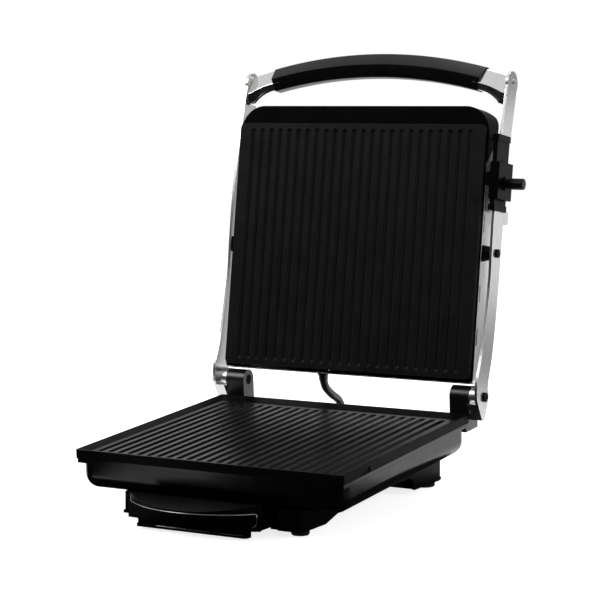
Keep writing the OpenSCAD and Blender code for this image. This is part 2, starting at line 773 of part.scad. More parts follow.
// The handle's end grows downwards where it meets the arm.
module handle_flare() {
    x = [arm_in - flare[0], arm_in + over];
    low = [for (a = x) handle_up - handle_arch + sqrt(handle_arch * handle_arch - a * a) - bar_h / 2];
    translate([0, handle_back + bar_t / 2 - bar_r + 3, 0]) rotate([90, 0, 0])
        linear_extrude(bar_t - 2 * bar_r + 6) polygon([
            [x[0], low[0] + 3], [x[0], low[0]], [x[1] - flare[0] / 3, low[1] - flare[1] / 2],
            [x[1], low[1] - flare[1]], [x[1], low[1] + 3]
        ]);
}
module handle_crossbar() {
    grip_end = asin(grip_w / 2 / handle_arch);
    arch_end = asin((arm_in + bar_h) / handle_arch);
    color("silver") on_lid() difference() {
        union() {
            arch(-grip_end - 0.5, grip_end + 0.5) circle(core_r);
            intersection() {
                union() {
                    arch(grip_end, arch_end) rounded(bar_h, bar_t, bar_r);
                    arch(-arch_end, -grip_end) rounded(bar_h, bar_t, bar_r);
                    both() handle_flare();
                }
                box([-arm_in, arm_in], [-far, far], [0, far]);
            }
        }
        both() translate([0, handle_screw[0], handle_screw[1]]) rod(arm_in - 14, far, 2.1);
    }
}
module grip_half(side) {
    grip_end = asin(grip_w / 2 / handle_arch);
    on_lid() arch(-grip_end + 0.03, grip_end - 0.03) difference() {
        rounded(grip_h, grip_t, grip_r);
        circle(core_r + 0.1);
        translate([-grip_h, side > 0 ? -grip_t : 0]) square([2 * grip_h, grip_t]);
    }
}
module grip_front() {
    color("dimgray") grip_half(1);
}
module grip_rear() {
    color("dimgray") grip_half(-1);
}
module handle_screws() {
    color("silver") on_lid() translate([0, handle_screw[0], handle_screw[1]]) both()
        translate([arm_x, 0, 0]) rotate([0, 90, 0]) pan_screw(handle_head_r, 1.4, 2, arm_t + 12);
}

// ---- Height clip ----

module slider_rail() {
    color("black") on_lid() difference() {
        union() {
            box(rail_x, rail_y, [rail_low, rail_low + rail_len]);
            for (v = [rail_low, rail_low + rail_len - collar_h])
                box([rail_x[0] - 1, rail_x[1] + 1.2], [rail_y[0] - 1, rail_y[1]], [v, v + collar_h]);
        }
        across(arm_in, arm_x) {
            arm_outline();
            translate([lobe[0], lobe[1]]) circle(lobe[2]);
        }
        // Track for the plunger's tip, wider at each height
        translate([0, knob_back, 0]) {
            box([arm_x - 0.5, far], [-tip_r - 0.4, tip_r + 0.4], [knob_v, knob_v + clip_travel]);
            for (i = [0:4]) translate([0, 0, knob_v + i * clip_travel / 4])
                rod(arm_x - 0.5, far, tip_r + 0.9);
        }
    }
}
module clip_block() {
    color("black") on_lid() difference() {
        union() {
            box([clip_x[0], clip_x[1]], [clip_y[0] + clip_notch, clip_y[1]], [clip_low, clip_low + clip_h]);
            box([clip_x[0] + clip_notch, clip_x[1]], clip_y, [clip_low, clip_low + clip_h]);
            // Tab that meets the rim's edge beside the lid
            box([half_w + 0.4, clip_x[0] + 1], [-11, 0], [clip_low + tab_up[0], clip_low + tab_up[1]]);
            translate([0, knob_back, knob_v]) rod(clip_x[1] - 1, clip_boss_end, 7.5);
        }
        box([rail_x[0] - clip_gap, rail_x[1] + clip_gap], [rail_y[0] - clip_gap, rail_y[1] + clip_gap],
            [0, far]);
        box([arm_in - clip_gap, arm_x + clip_gap], [0, far], [0, far]);
        translate([0, knob_back, knob_v]) {
            rod(arm_x, chamber_end, chamber_r);
            rod(arm_x, far, stem_r + 0.1);
        }
    }
}
module clip_plunger() {
    color("silver") on_lid() translate([0, knob_back, knob_v]) {
        rod(arm_x + 0.4, rail_x[1] + 0.8, tip_r);
        rod(rail_x[1] + 0.8, rail_x[1] + 1.6, chamber_r - 0.3);
        rod(rail_x[1] + 0.8, knob_x + 8, stem_r);
    }
}
module clip_knob() {
    r = knob_d / 2;
    color("black") on_lid() translate([0, knob_back, knob_v]) difference() {
        union() {
            rod(knob_x, knob_x + 2, r * 0.8);
            rod(knob_x + 2, knob_end - knob_edge, r);
            rod(knob_end - knob_edge - over, knob_end, r - knob_edge);
            translate([knob_end - knob_edge, 0, 0]) rotate([0, 90, 0])
                rotate_extrude() translate([r - knob_edge, 0]) circle(knob_edge);
        }
        rod(0, knob_x + 8, stem_r);
    }
}
// A short coil round the plunger's stem, drawn at the length it has with the knob pulled out.
module clip_spring() {
    wire = 0.3;
    coil_r = chamber_r - 0.8;
    low = rail_x[1] + 1.6 + wire;
    high = chamber_end - pull_travel - wire - 0.1;
    turns = 2;
    steps = 16 * turns;
    sides = 6;
    rings = [for (i = [0:steps]) let (a = 360 * turns * i / steps, x = low + (high - low) * i / steps)
        [for (k = [0:sides - 1]) let (b = 360 * k / sides, r = coil_r + wire * cos(b))
            [x + wire * sin(b), r * cos(a), r * sin(a)]]];
    color("silver") on_lid() translate([0, knob_back, knob_v]) swept(rings);
}
// Closes a list of rings into a tube.
module swept(rings) {
    n = len(rings[0]);
    last = len(rings) - 1;
    polyhedron(
        points = [for (r = rings) each r],
        faces = concat(
            [[for (k = [0:n - 1]) k]],
            [for (i = [0:last - 1], k = [0:n - 1]) let (m = (k + 1) % n)
                [i * n + k, (i + 1) * n + k, (i + 1) * n + m, i * n + m]],
            [[for (k = [n - 1:-1:0]) last * n + k]]
        )
    );
}

// ---- Lid ----

module upper_grill_plate() {
    color("dimgray") on_lid() translate([0, plate_face, upper_mid]) rotate([90, 0, 0])
        grill_plate(upper_w, upper_d, plate_t);
}
module head_frame() {
    color("silver") on_lid() {
        translate([0, frame_y, upper_mid]) rotate([90, 0, 0]) difference() {
            slab(frame_w, upper_d - 1, plate_r, -frame_t, 0);
            slab(block_w + 1, block_d + 1, plate_r, -frame_t - over, over);
        }
        both() for (v = [lid_post[1], lid_post[2]]) translate([lid_post[0], frame_y + frame_t, v])
            rotate([-90, 0, 0]) difference() {
                cylinder(h = 27.5, r = boss_r);
                translate([0, 0, 12]) cylinder(h = far, r = 1.4);
            }
    }
}
// The lid's outer form, smaller all round by inset: rounded back edges, and a rounded outline.
module lid_form(inset) {
    r = lid_r - inset;
    side = deck_w / 2 - inset;
    back = lid_back - inset;
    up = [lid_low + inset, lid_high - inset];
    front = lid_front - (inset > 0 ? over : 0);
    intersection() {
        across(-far, far) {
            for (v = [up[0] + r, up[1] - r]) translate([back - r, v]) circle(r);
            translate([front, up[0]]) square([back - r - front, up[1] - up[0]]);
            translate([front, up[0] + r]) square([back - front, up[1] - up[0] - 2 * r]);
        }
        linear_extrude(far) {
            for (x = [r - side, side - r]) translate([x, back - r]) circle(r);
            translate([-side, front]) square([2 * side, back - r - front]);
            translate([r - side, front]) square([2 * (side - r), back - front]);
        }
        translate([0, far, 0]) rotate([90, 0, 0]) linear_extrude(2 * far) union() {
            low = lid_corner - min(inset, lid_corner - 0.5);
            top = cap_corner - inset;
            for (x = [low - side, side - low]) translate([x, up[0] + low]) circle(low);
            for (x = [top - side, side - top]) translate([x, up[1] - top]) circle(top);
            translate([low - side, up[0]]) square([2 * (side - low), up[1] - up[0] - top]);
            translate([-side, up[0] + low]) square([2 * side, up[1] - up[0] - low - top]);
            translate([top - side, up[0] + low]) square([2 * (side - top), up[1] - up[0] - low]);
        }
    }
}
module lid_shell(wall) {
    difference() {
        lid_form(0);
        lid_form(wall);
    }
}
// The lid's side of the seam, as [back, up]: below it is steel, above it is the end cap.
module seam(gap) {
    across(-far / 2, far / 2) polygon([
        [lid_front - over, cap_start - cap_slant + gap - over], [lid_front, cap_start - cap_slant + gap],
        [lid_front + cap_slant_d, cap_start + gap], [lid_back + over, cap_start + gap],
        [lid_back + over, far], [lid_front - over, far]
    ]);
}
module top_cover() {
    color("silver") on_lid() difference() {
        lid_shell(cover_t);
        seam(-fit);
        for (v = vents) box([-far, far], [lid_front + 1.5, lid_front + 4], v);
        translate([0, pivot_back, pivot_up]) rod(-far / 2, far / 2, 7.3);
        lid_gland_place() translate([0, 0, -gland_r]) cylinder(h = 40, r = gland_r + 0.2);
    }
}
module lid_gland_place() {
    translate([base_gland[0], lid_gland[0], lid_gland[1]]) rotate([gland_tilt, 0, 0]) children();
}
module head_end_cap() {
    wall_z = upper_low + upper_d + fit;
    color("black") on_lid() difference() {
        union() {
            intersection() {
                lid_shell(cap_wall);
                seam(0);
            }
            // Front wall above the plate's edge
            intersection() {
                lid_form(0);
                box([-far, far], [lid_front, lid_front + cap_wall], [wall_z, far]);
            }
        }
        for (x = [-1, 1]) translate([x * lamp[0], lid_back, lamp[1]]) rotate([90, 0, 0])
            cylinder(h = 20, r = 3.2, center = true);
        both() translate([lid_post[0], lid_back, lid_post[2]]) rotate([90, 0, 0])
            cylinder(h = 20, r = 1.7, center = true);
    }
}
module upper_heating_element() {
    color("dimgray") on_lid()
        translate([0, plate_face + plate_t + plate_block - element_z, upper_mid])
            rotate([90, 180, 0]) heating_element();
}
module upper_heat_reflector() {
    color("silver") on_lid() translate([0, plate_face + plate_t + plate_block + fit, upper_mid])
        rotate([90, 0, 0]) heat_reflector();
}
module upper_thermostat() {
    color("ivory") on_lid() translate([0, plate_face + plate_t + plate_block + fit, upper_mid])
        rotate([90, 0, 0]) thermostat();
}
// A pivot boss on the lid's side: a plate outside the cover and a barrel through it.
module pivot_boss() {
    difference() {
        union() {
            across(half_w + 0.1, half_w + 3.4) {
                translate([pivot_back, pivot_up]) circle(7);
                polygon([
                    [lid_front, pivot_up - 10], [pivot_back, pivot_up - 7],
                    [pivot_back, pivot_up + 7], [lid_front, pivot_up + 7]
                ]);
            }
            translate([0, pivot_back, pivot_up]) rod(half_w - 9, half_w + 1, 7);
        }
        translate([0, pivot_back, pivot_up]) rod(0, far, pivot_r + running);
    }
}
module left_pivot_boss() {
    color("black") on_lid() mirror([1, 0, 0]) pivot_boss();
}
module right_pivot_boss() {
    color("black") on_lid() pivot_boss();
}
module pivot_collars() {
    color("gray") on_lid() translate([0, pivot_back, pivot_up]) both() difference() {
        rod(half_w + 3.4, arm_in - 0.4, collar_r);
        rod(0, far, pivot_r + running);
    }
}
module indicator_lamps() {
    color("orange") on_lid() for (x = [-1, 1]) translate([x * lamp[0], lid_back - 6, lamp[1]])
        rotate([-90, 0, 0]) {
            cylinder(h = 6.6, r = 3);
            cylinder(h = 6 - cap_wall, r = 3.8);
        }
}
module head_screws() {
    color("silver") on_lid() both() translate([lid_post[0], lid_back, lid_post[2]])
        rotate([-90, 0, 0]) pan_screw(head_screw_r, 1.6, 1.3, head_screw_len);
}
module lid_cable_gland() {
    color("black") on_lid() lid_gland_place() difference() {
        cylinder(h = lid_gland_len, r = gland_r);
        translate([0, 0, -over]) cylinder(h = far, r = 3.4);
        for (i = [0:1]) translate([0, 0, 1.6 + 2 * i]) difference() {
            cylinder(h = 0.8, r = gland_r + over);
            cylinder(h = 0.8, r = gland_r - 0.7);
        }
    }
}
// The cable between the two glands, in a plane across the hinge.
module link_cable() {
    sides = 10;
    per_span = 2;
    lean = lid_lean - gland_tilt;
    end = [
        hinge_y + lid_gland[0] * cos(lid_lean) + lid_gland[1] * sin(lid_lean) - gland_gap * sin(lean),
        hinge_z - lid_gland[0] * sin(lid_lean) + lid_gland[1] * cos(lid_lean) - gland_gap * cos(lean)
    ];
    path = smooth(concat(cable_route, [end]), per_span);
    last = len(path) - 1;
    rings = [for (i = [0:last]) let (
        d = i == 0 ? [1, 0] : i == last ? [sin(lean), cos(lean)] : path[i + 1] - path[i - 1],
        n = [d[1], -d[0]] / norm(d)
    ) [for (k = [0:sides - 1]) let (a = 360 * k / sides, s = cable_d / 2 * sin(a))
        [base_gland[0] + cable_d / 2 * cos(a), path[i][0] + n[0] * s, path[i][1] + n[1] * s]]];
    color("black") place() swept(rings);
}

deck_rim();
base_housing();
lower_grill_plate();
lower_heating_element();
lower_heat_reflector();
lower_thermostat();
base_stand();
tray_runners();
bottom_panel();
rubber_feet();
base_screws();
terminal_block();
mains_gland_bush();
base_cable_gland();
left_hinge_post();
right_hinge_post();
hinge_pins();
drip_tray();
drip_tray_front();
left_arm();
right_arm();
pivot_screws();
handle_crossbar();
grip_front();
grip_rear();
handle_screws();
slider_rail();
clip_block();
clip_plunger();
clip_knob();
clip_spring();
upper_grill_plate();
head_frame();
top_cover();
head_end_cap();
upper_heating_element();
upper_heat_reflector();
upper_thermostat();
left_pivot_boss();
right_pivot_boss();
pivot_collars();
indicator_lamps();
head_screws();
lid_cable_gland();
link_cable();
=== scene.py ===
"""Looks of the panini press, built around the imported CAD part.

Metres and degrees. +Z up, front towards -Y, counter at z = 0. Two more frames are used: the
deck's, whose origin is the middle of the base rim's top, with Y up the slope; and the lid's, whose
origin is on the hinge axis, with Z up along the open arms and Y towards the back. X runs to the
right in all of them.
"""

import json
import math

import bmesh
import bpy
from mathutils import Matrix, Vector


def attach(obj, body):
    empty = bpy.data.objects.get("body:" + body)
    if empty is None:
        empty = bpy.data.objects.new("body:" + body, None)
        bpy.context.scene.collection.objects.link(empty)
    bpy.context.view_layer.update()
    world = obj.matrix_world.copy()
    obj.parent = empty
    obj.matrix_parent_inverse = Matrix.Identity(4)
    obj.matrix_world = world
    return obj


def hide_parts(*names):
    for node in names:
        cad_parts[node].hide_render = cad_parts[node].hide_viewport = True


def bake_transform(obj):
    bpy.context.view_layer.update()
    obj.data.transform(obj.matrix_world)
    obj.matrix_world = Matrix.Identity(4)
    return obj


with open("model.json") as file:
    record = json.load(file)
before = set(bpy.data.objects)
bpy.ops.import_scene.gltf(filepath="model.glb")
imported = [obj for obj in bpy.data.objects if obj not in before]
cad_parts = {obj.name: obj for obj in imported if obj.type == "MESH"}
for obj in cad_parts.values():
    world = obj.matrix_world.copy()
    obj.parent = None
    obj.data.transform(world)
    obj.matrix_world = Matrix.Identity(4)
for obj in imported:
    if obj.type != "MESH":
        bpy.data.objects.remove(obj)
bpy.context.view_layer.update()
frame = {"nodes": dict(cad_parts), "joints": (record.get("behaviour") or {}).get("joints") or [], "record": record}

# ---- Frames shared with the CAD part ----

DECK_SLOPE = 4                  # the deck falls towards the front
LID_LEAN = 8                    # the open arms lean back
HINGE_BEHIND_DECK = 0.15725     # the hinge axis, in the deck's frame
HINGE_ABOVE_DECK = 0.01525
SOURCE_SHIFT = -0.022565        # along Y, from the CAD source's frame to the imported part's

joints = {j["name"]: j for j in frame["joints"]}
hinge = Vector(joints["arm_hinge"]["pos_m"])
deck_turn = Matrix.Rotation(math.radians(DECK_SLOPE), 4, "X")
deck_mid = hinge - deck_turn @ Vector((0, HINGE_BEHIND_DECK, HINGE_ABOVE_DECK))
DECK = Matrix.Translation(deck_mid) @ deck_turn
LID = Matrix.Translation(hinge) @ Matrix.Rotation(math.radians(-LID_LEAN), 4, "X")


def in_source(x, y, z):
    """A place given in the CAD source's frame, whose origin is on the hinge's middle plane."""
    return Vector((hinge.x + x, SOURCE_SHIFT + y, z))


# ---- Camera and light ----

CAMERA_PLACE = (0.99784, -1.75611, 0.32997)     # from the middle of the deck
CAMERA_AHEAD = (-0.4816, 0.8710, -0.0967)
CAMERA_RIGHT = (0.875, 0.484, 0)
CAMERA_SENSOR = 36                              # sensor and lens in mm
CAMERA_LENS = 120.73
CAMERA_SEES_TO = 20

LIGHT_AIM = (0, 0, 0.2)
LIGHTS = (                      # name, place, size, power in watts
    ("key_light", (-1.6, -1.4, 1.9), (1.2, 1.2), 38),
    ("side_light", (2.4, 0.2, 0.9), (0.8, 1.6), 26),
    ("top_light", (0.2, 0.9, 2.4), (1.6, 0.7), 16),
)

SKY_COLOR = (0.9, 0.93, 1, 1)
SKY_STRENGTH = 0.30
FLOOR_SIZE = 12
FLOOR_COLOR = (0.9, 0.9, 0.9, 1)
FLOOR_ROUGHNESS = 0.8
FLOOR_GLOW = 0.8                # lifts the floor to white for the camera

FLAGS = (                       # name, middle, size, turn, brightness
    ("front_flag", (-0.6, -3.4, 1.2), (6.5, 3.6), (90, 0, 0), 0.004),
    ("front_floor_flag", (-0.6, -1.76, 0.004), (6.5, 3.28), (0, 0, 0), 0.01),
    ("front_card", (-0.14, -0.38, 0.006), (0.12, 0.36), (0, 0, 0), 1.5),
    ("near_floor_flag", (0.11, 0.0, 0.004), (0.6, 0.34), (0, 0, -29), 0.02),
    ("side_floor_flag", (0.78, 1.20, 0.004), (1.1, 1.15), (0, 0, -29), 0.12),
    ("top_side_flag", (0.42, 0.56, 0.62), (1.2, 0.42), (90, 0, -29), 0.35),
)


def radians_of(angles):
    return [math.radians(a) for a in angles]


def add_camera():
    """A camera to the right of the front, as high as the open lid and looking slightly down."""
    right = Vector(CAMERA_RIGHT).normalized()
    ahead = Vector(CAMERA_AHEAD).normalized()
    up = right.cross(ahead).normalized()
    place = Matrix((right, up, -ahead)).transposed().to_4x4()
    place.translation = deck_mid + Vector(CAMERA_PLACE)
    data = bpy.data.cameras.new("camera")
    data.sensor_width = CAMERA_SENSOR
    data.lens = CAMERA_LENS
    data.clip_end = CAMERA_SEES_TO
    camera = bpy.data.objects.new("camera", data)
    bpy.context.scene.collection.objects.link(camera)
    camera.matrix_world = place
    bpy.context.scene.camera = camera


def add_area_light(name, place, size, power):
    """A soft box that faces the object."""
    data = bpy.data.lights.new(name, "AREA")
    data.shape = "RECTANGLE"
    data.size, data.size_y = size
    data.energy = power
    lamp = bpy.data.objects.new(name, data)
    bpy.context.scene.collection.objects.link(lamp)
    lamp.location = place
    aim = Vector(LIGHT_AIM) - Vector(place)
    lamp.rotation_euler = aim.to_track_quat("-Z", "Y").to_euler()


def sees_white(tree):
    """1 for what the camera, gloss and glass see, else 0."""
    path = tree.nodes.new("ShaderNodeLightPath")
    value = path.outputs["Is Camera Ray"]
    for name in ("Is Glossy Ray", "Is Transmission Ray"):
        seen = tree.nodes.new("ShaderNodeMath")
        seen.operation = "MAXIMUM"
        tree.links.new(value, seen.inputs[0])
        tree.links.new(path.outputs[name], seen.inputs[1])
        value = seen.outputs[0]
    return value


def add_world():
    """Soft light from all round, and a white background."""
    world = bpy.data.worlds.new("world")
    bpy.context.scene.world = world
    world.use_nodes = True
    tree = world.node_tree
    nodes, links = tree.nodes, tree.links
    nodes.clear()
    out = nodes.new("ShaderNodeOutputWorld")
    mix = nodes.new("ShaderNodeMixShader")
    soft = nodes.new("ShaderNodeBackground")
    soft.inputs["Color"].default_value = SKY_COLOR
    soft.inputs["Strength"].default_value = SKY_STRENGTH
    white = nodes.new("ShaderNodeBackground")
    white.inputs["Color"].default_value = (1, 1, 1, 1)
    white.inputs["Strength"].default_value = 1
    links.new(sees_white(tree), mix.inputs[0])
    links.new(soft.outputs[0], mix.inputs[1])
    links.new(white.outputs[0], mix.inputs[2])
    links.new(mix.outputs[0], out.inputs["Surface"])


def add_floor():
    """A pale floor that shows white to the camera but keeps the object's shadow."""
    bpy.ops.mesh.primitive_plane_add(size=FLOOR_SIZE, location=(0, 0, 0))
    floor = bpy.context.object
    floor.name = "floor"
    material = bpy.data.materials.new("floor_white")
    material.use_nodes = True
    tree = material.node_tree
    bsdf = tree.nodes["Principled BSDF"]
    bsdf.inputs["Base Color"].default_value = FLOOR_COLOR
    bsdf.inputs["Roughness"].default_value = FLOOR_ROUGHNESS
    glow = tree.nodes.new("ShaderNodeEmission")
    glow.inputs["Strength"].default_value = FLOOR_GLOW
    gate = tree.nodes.new("ShaderNodeMixShader")
    both = tree.nodes.new("ShaderNodeAddShader")
    tree.links.new(bsdf.outputs[0], both.inputs[0])
    tree.links.new(glow.outputs[0], both.inputs[1])
    tree.links.new(sees_white(tree), gate.inputs[0])
    tree.links.new(bsdf.outputs[0], gate.inputs[1])
    tree.links.new(both.outputs[0], gate.inputs[2])
    tree.links.new(gate.outputs[0], tree.nodes["Material Output"].inputs["Surface"])
    floor.data.materials.append(material)


def add_flag(name, place, size, turn, grey):
    """A studio card that only gloss sees: dark as the unlit side of a studio, or bright."""
    bpy.ops.mesh.primitive_plane_add(size=1, location=place)
    flag = bpy.context.object
    flag.name = name
    flag.scale = (*size, 1)
    flag.rotation_euler = radians_of(turn)
    material = bpy.data.materials.new(name)
    material.use_nodes = True
    tree = material.node_tree
    glow = tree.nodes.new("ShaderNodeEmission")
    glow.inputs["Color"].default_value = (grey, grey, grey, 1)
    tree.links.new(glow.outputs[0], tree.nodes["Material Output"].inputs["Surface"])
    flag.data.materials.append(material)
    flag.visible_camera = False
    flag.visible_diffuse = False
    flag.visible_shadow = False
    flag.visible_transmission = False


# ---- Materials ----

EDGE_RADIUS = 0.0005            # every edge is rounded by this much in shading
EDGE_SAMPLES = 6
RAMP_START, RAMP_END = 0.3, 0.7     # the part of a noise's values that a finish uses

# Name: colour, its spread, roughness, its spread, scale and depth of the grain, other sockets
GRAINED = {
    "rim_paint": ((0.0014, 0.0014, 0.0015), 0.15, 0.42, 0.06, 2500, 0.00003,
        {"Specular IOR Level": 0.03}),
    "shell_black": ((0.0008, 0.0008, 0.0008), 0.1, 0.22, 0.04, 1500, 0.00001,
        {"Specular IOR Level": 0.24}),
    "grill_coating": ((0.0036, 0.0036, 0.0037), 0.2, 0.32, 0.04, 3000, 0.00002,
        {"Specular IOR Level": 0.08}),
    # Painted light: a lighter copy of grill_coating for the lid's plate, standing in for how light falls on it;
    # both plates have one coating
    "upper_coating": ((0.0055, 0.0055, 0.0056), 0.25, 0.36, 0.05, 3000, 0.00002,
        {"Specular IOR Level": 0.12}),
    "grip_black": ((0.0020, 0.0020, 0.0021), 0.12, 0.34, 0.05, 2200, 0.00004,
        {"Specular IOR Level": 0.13}),
    "trim_black": ((0.0012, 0.0012, 0.0012), 0.12, 0.34, 0.05, 2000, 0.00004,
        {"Specular IOR Level": 0.03}),
    "black_steel": ((0.0012, 0.0012, 0.0012), 0.15, 0.32, 0.05, 1200, 0.00001,
        {"Specular IOR Level": 0.02}),
    "post_black": ((0.0020, 0.0020, 0.0021), 0.12, 0.30, 0.05, 2000, 0.00003,
        {"Specular IOR Level": 0.45}),
    "edge_gloss": ((0.02, 0.02, 0.02), 0.1, 0.12, 0.02, 900, 0.000005,
        {"Specular IOR Level": 1.0, "IOR": 2.0}),
    "element_steel": ((0.10, 0.09, 0.085), 0.3, 0.5, 0.08, 600, 0.00004, {}),
    "ceramic_white": ((0.72, 0.69, 0.62), 0.05, 0.4, 0.05, 900, 0.00002, {}),
    "rubber_black": ((0.0015, 0.0015, 0.0015), 0.2, 0.7, 0.06, 1800, 0.00006,
        {"Specular IOR Level": 0.08}),
    "cable_rubber": ((0.016, 0.016, 0.017), 0.15, 0.36, 0.06, 1500, 0.00004, {}),
    "lamp_amber": ((0.55, 0.18, 0.02), 0.05, 0.15, 0.03, 400, 0.00001, {}),
}

# Name: colour, roughness, turn of the hairlines, scale of the noise along each axis
BRUSHED = {
    "brushed_steel": ((0.58, 0.58, 0.575), 0.28, (LID_LEAN, 0, 0), (1, 1, 0.03)),
    "plain_sheet": ((0.72, 0.72, 0.71), 0.35, (0, 0, 0), (0.05, 1, 1)),
    "screw_steel": ((0.55, 0.55, 0.55), 0.25, (0, 0, 0), (1, 1, 1)),
}

# Name: colour, roughness
POLISHED = {
    "cast_silver": ((0.60, 0.60, 0.595), 0.16),
}

# Node: a finish other than its slot's
OWN_FINISH = {
    "left_hinge_post": "post_black",
    "right_hinge_post": "post_black",
    "base_stand": "trim_black",
    "drip_tray_front": "trim_black",
    "head_end_cap": "trim_black",
    # The lid's plate gets the lighter copy of its coating, as painted light
    "upper_grill_plate": "upper_coating",
}


def new_material(name, color, roughness, metallic=0.0, sockets=None):
    """An even finish, on which the functions below lay their textures."""
    material = bpy.data.materials.new(name)
    material.use_nodes = True
    bsdf = material.node_tree.nodes["Principled BSDF"]
    bsdf.inputs["Base Color"].default_value = (*color, 1)
    bsdf.inputs["Roughness"].default_value = roughness
    bsdf.inputs["Metallic"].default_value = metallic
    for socket, value in (sockets or {}).items():
        bsdf.inputs[socket].default_value = value
    return material


def object_coordinates(tree, scale=(1, 1, 1), turn=(0, 0, 0)):
    """The piece's own coordinates, stretched and turned, so grain keeps its real size."""
    place = tree.nodes.new("ShaderNodeTexCoord")
    mapping = tree.nodes.new("ShaderNodeMapping")
    mapping.inputs["Scale"].default_value = scale
    mapping.inputs["Rotation"].default_value = radians_of(turn)
    tree.links.new(place.outputs["Object"], mapping.inputs["Vector"])
    return mapping.outputs["Vector"]


def noise(tree, vector, scale, detail=3.0, roughness=0.6):
    """A cloudy value between 0 and 1."""
    texture = tree.nodes.new("ShaderNodeTexNoise")
    texture.inputs["Scale"].default_value = scale
    texture.inputs["Detail"].default_value = detail
    texture.inputs["Roughness"].default_value = roughness
    tree.links.new(vector, texture.inputs["Vector"])
    return texture.outputs["Fac"]


def vary_color(material, value, dark, light):
    """Colour runs from dark to light with a texture's value."""
    tree = material.node_tree
    ramp = tree.nodes.new("ShaderNodeValToRGB")
    first, last = ramp.color_ramp.elements
    first.position, first.color = RAMP_START, (*dark, 1)
    last.position, last.color = RAMP_END, (*light, 1)
    tree.links.new(value, ramp.inputs[0])
    tree.links.new(ramp.outputs[0], tree.nodes["Principled BSDF"].inputs["Base Color"])


def vary_gloss(material, value, low, high, start=RAMP_START, end=RAMP_END):
    """Roughness runs from low to high while a texture's value runs from start to end."""
    tree = material.node_tree
    node = tree.nodes.new("ShaderNodeMapRange")
    node.inputs["From Min"].default_value = start
    node.inputs["From Max"].default_value = end
    node.inputs["To Min"].default_value = low
    node.inputs["To Max"].default_value = high
    tree.links.new(value, node.inputs["Value"])
    tree.links.new(node.outputs["Result"], tree.nodes["Principled BSDF"].inputs["Roughness"])


def add_bump(material, value, depth, strength):
    """Fine relief on top of slightly rounded edges."""
    tree = material.node_tree
    round_edge = tree.nodes.new("ShaderNodeBevel")
    round_edge.samples = EDGE_SAMPLES
    round_edge.inputs["Radius"].default_value = EDGE_RADIUS
    bump = tree.nodes.new("ShaderNodeBump")
    tree.links.new(round_edge.outputs[0], bump.inputs["Normal"])
    bump.inputs["Distance"].default_value = depth
    bump.inputs["Strength"].default_value = strength
    tree.links.new(value, bump.inputs["Height"])
    tree.links.new(bump.outputs[0], tree.nodes["Principled BSDF"].inputs["Normal"])


def grained(name, color, spread, roughness, rough_spread, grain, depth, sockets):
    """Moulded or coated surface: cloudy colour, uneven gloss and a fine grain."""
    material = new_material(name, color, roughness, sockets=sockets)
    tree = material.node_tree
    vector = object_coordinates(tree)
    dark = [c * (1 - spread) for c in color]
    light = [c * (1 + spread) for c in color]
    vary_color(material, noise(tree, vector, scale=35), dark, light)
    clouds = noise(tree, vector, scale=60)
    vary_gloss(material, clouds, roughness - rough_spread, roughness + rough_spread)
    add_bump(material, noise(tree, vector, grain, detail=2), depth, strength=0.6)
    return material


def brushed(name, color, roughness, turn, along):
    """Brushed metal with its hairlines along one direction."""
    material = new_material(name, color, roughness, metallic=1.0)
    tree = material.node_tree
    vector = object_coordinates(tree, along, turn)
    lines = noise(tree, vector, scale=900, detail=2, roughness=0.7)
    clouds = noise(tree, object_coordinates(tree), scale=9, detail=1)
    vary_color(material, lines, [c * 0.9 for c in color], [min(1, c * 1.06) for c in color])
    vary_gloss(material, clouds, roughness - 0.015, roughness + 0.02, start=0.2, end=0.8)
    add_bump(material, lines, depth=0.00002, strength=0.4)
    return material


def polished(name, color, roughness):
    """Cast metal, polished by hand: soft clouds in its gloss and faint waves in its surface."""
    material = new_material(name, color, roughness, metallic=1.0)
    tree = material.node_tree
    vector = object_coordinates(tree)
    vary_color(material, noise(tree, vector, scale=40), [c * 0.94 for c in color], color)
    clouds = noise(tree, vector, scale=30, detail=1)
    vary_gloss(material, clouds, roughness - 0.02, roughness + 0.03, start=0.2, end=0.8)
    add_bump(material, noise(tree, vector, scale=60, detail=1), depth=0.00002, strength=0.2)
    return material


def make_materials():
    """Every finish, by its name."""
    made = {}
    for make, looks in ((grained, GRAINED), (brushed, BRUSHED), (polished, POLISHED)):
        for name, look in looks.items():
            made[name] = make(name, *look)
    return made


def dress_cad_nodes():
    """Each CAD node gets its slot's material, apart from a few with a finish of their own."""
    for part in frame["record"]["subparts"]:
        finish = OWN_FINISH.get(part["node"], part["material_slot"])
        piece = frame["nodes"][part["node"]]
        piece.data.materials.clear()
        piece.data.materials.append(materials[finish])


# ---- Mesh helpers ----

CORNER_STEPS = 6
SPAN_STEPS = 4                  # points of a smooth route to each of the points it is drawn through


def rounded_loop(corners):
    """A closed outline with each corner (a, b, radius) rounded, in the corners' own order."""
    loop = []
    for i, (a, b, radius) in enumerate(corners):
        here = Vector((a, b))
        before = (Vector(corners[i - 1][:2]) - here).normalized()
        after = (Vector(corners[(i + 1) % len(corners)][:2]) - here).normalized()
        half = before.angle(after) / 2
        reach = radius / math.tan(half)
        middle = here + (before + after).normalized() * radius / math.sin(half)
        first, last = here + before * reach - middle, here + after * reach - middle
        for k in range(CORNER_STEPS + 1):
            part = first.lerp(last, k / CORNER_STEPS).normalized() * radius
            loop.append(tuple(middle + part))
    return loop


def smooth_route(points):
    """A Catmull-Rom curve through the points."""
    p = [points[0] * 2 - points[1], *points, points[-1] * 2 - points[-2]]
    curve = []
    for i in range(1, len(p) - 2):
        for k in range(SPAN_STEPS):
            t = k / SPAN_STEPS
            curve.append(0.5 * (2 * p[i] + (p[i + 1] - p[i - 1]) * t
                + (2 * p[i - 1] - 5 * p[i] + 4 * p[i + 1] - p[i + 2]) * t ** 2
                + (3 * p[i] - p[i - 1] - 3 * p[i + 1] + p[i + 2]) * t ** 3))
    return curve + [points[-1]]


